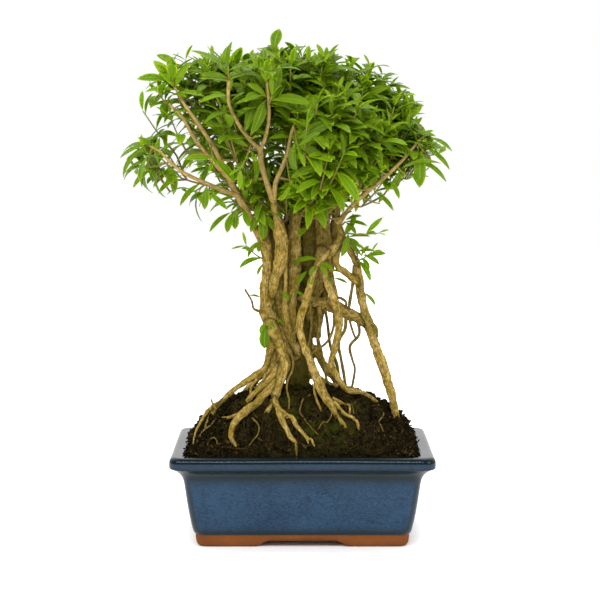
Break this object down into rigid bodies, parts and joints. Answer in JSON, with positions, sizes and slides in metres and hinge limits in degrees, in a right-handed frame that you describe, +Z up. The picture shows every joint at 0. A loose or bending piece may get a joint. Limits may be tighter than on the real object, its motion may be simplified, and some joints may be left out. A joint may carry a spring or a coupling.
{
  "type": "potted bonsai tree",
  "caption": "Small serissa bonsai grown over exposed roots, with a dome of leafy stems, in a glazed rectangular pot filled with soil.",
  "frame": {"origin": "bottom centre of the bounding box of the whole plant with its pot, on the surface it stands on", "axes": "+Z up, X along the pot's long side, -Y towards the viewer of the pot's front"},
  "size_m": [0.2608, 0.1984, 0.3928],
  "materials": {
    "pot": "gloss",
    "drain_mesh": "matte",
    "soil": "matte",
    "bark": "matte",
    "leaf": "satin"
  },
  "bodies": {
    "root": {"pot": "pot", "drain_mesh_left": "drain_mesh", "drain_mesh_right": "drain_mesh", "soil": "soil", "trunk_and_roots": "bark", "leafy_stem_01": "leaf", "leafy_stem_02": "leaf", "leafy_stem_03": "leaf", "leafy_stem_04": "leaf", "leafy_stem_05": "leaf", "leafy_stem_06": "leaf", "leafy_stem_07": "leaf", "leafy_stem_08": "leaf", "leafy_stem_09": "leaf", "leafy_stem_10": "leaf", "leafy_stem_11": "leaf", "leafy_stem_12": "leaf", "leafy_stem_13": "leaf", "leafy_stem_14": "leaf", "leafy_stem_15": "leaf", "leafy_stem_16": "leaf", "leafy_stem_17": "leaf", "leafy_stem_18": "leaf", "leafy_stem_19": "leaf", "leafy_stem_20": "leaf", "leafy_stem_21": "leaf", "leafy_stem_22": "leaf", "leafy_stem_23": "leaf", "leafy_stem_24": "leaf", "leafy_stem_25": "leaf", "leafy_stem_26": "leaf", "leafy_stem_27": "leaf", "leafy_stem_28": "leaf", "leafy_stem_29": "leaf", "leafy_stem_30": "leaf", "leafy_stem_31": "leaf", "leafy_stem_32": "leaf", "leafy_stem_33": "leaf", "leafy_stem_34": "leaf", "leafy_stem_35": "leaf", "leafy_stem_36": "leaf", "leafy_stem_37": "leaf", "leafy_stem_38": "leaf", "leafy_stem_39": "leaf", "leafy_stem_40": "leaf", "leafy_stem_41": "leaf", "leafy_stem_42": "leaf", "leafy_stem_43": "leaf", "leafy_stem_44": "leaf", "leafy_stem_45": "leaf", "leafy_stem_46": "leaf", "leafy_stem_47": "leaf", "leafy_stem_48": "leaf", "leafy_stem_49": "leaf", "leafy_stem_50": "leaf", "leafy_stem_51": "leaf", "leafy_stem_52": "leaf", "leafy_stem_53": "leaf", "leafy_stem_54": "leaf", "leafy_stem_55": "leaf"}
  },
  "joints": []
}
